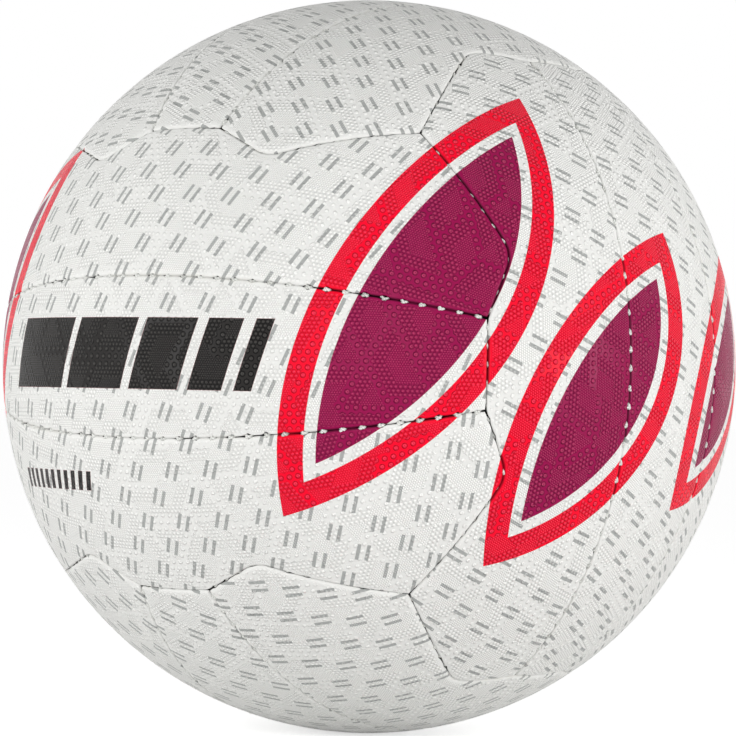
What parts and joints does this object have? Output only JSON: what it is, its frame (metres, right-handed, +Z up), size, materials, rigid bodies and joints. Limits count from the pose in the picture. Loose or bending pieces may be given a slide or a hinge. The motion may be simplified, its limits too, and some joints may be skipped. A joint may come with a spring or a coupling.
{
  "type": "netball",
  "caption": "Inflated match netball with interlocking stitched rubber panels over backing plies, a bladder and a needle valve.",
  "frame": {"origin": "the ball's centre", "axes": "+Z up as the ball lies in the picture, -Y the front face, whose strips lie level, +X the right face, whose strips stand up, and +Y the rear face with the valve at its centre"},
  "size_m": [0.2228, 0.2228, 0.2228],
  "materials": {
    "cover_rubber": "white pimpled rubber, matt",
    "lining_fabric": "laminated polyester and cotton plies",
    "waxed_thread": "waxed polyester thread",
    "bladder_rubber": "thin butyl rubber",
    "patch_rubber": "cemented rubber patch",
    "valve_rubber": "moulded rubber, satin",
    "plug_rubber": "soft self-sealing rubber"
  },
  "bodies": {
    "root": {"front_upper_cover": "cover_rubber", "front_middle_cover": "cover_rubber", "front_lower_cover": "cover_rubber", "rear_upper_cover": "cover_rubber", "rear_middle_cover": "cover_rubber", "rear_lower_cover": "cover_rubber", "right_front_cover": "cover_rubber", "right_middle_cover": "cover_rubber", "right_rear_cover": "cover_rubber", "left_front_cover": "cover_rubber", "left_middle_cover": "cover_rubber", "left_rear_cover": "cover_rubber", "top_left_cover": "cover_rubber", "top_middle_cover": "cover_rubber", "top_right_cover": "cover_rubber", "bottom_left_cover": "cover_rubber", "bottom_middle_cover": "cover_rubber", "bottom_right_cover": "cover_rubber", "front_upper_lining": "lining_fabric", "front_middle_lining": "lining_fabric", "front_lower_lining": "lining_fabric", "rear_upper_lining": "lining_fabric", "rear_middle_lining": "lining_fabric", "rear_lower_lining": "lining_fabric", "right_front_lining": "lining_fabric", "right_middle_lining": "lining_fabric", "right_rear_lining": "lining_fabric", "left_front_lining": "lining_fabric", "left_middle_lining": "lining_fabric", "left_rear_lining": "lining_fabric", "top_left_lining": "lining_fabric", "top_middle_lining": "lining_fabric", "top_right_lining": "lining_fabric", "bottom_left_lining": "lining_fabric", "bottom_middle_lining": "lining_fabric", "bottom_right_lining": "lining_fabric", "strip_seam_thread": "waxed_thread", "face_seam_thread": "waxed_thread", "bladder": "bladder_rubber", "valve_patch": "patch_rubber", "valve_body": "valve_rubber", "valve_plug": "plug_rubber"}
  },
  "joints": []
}
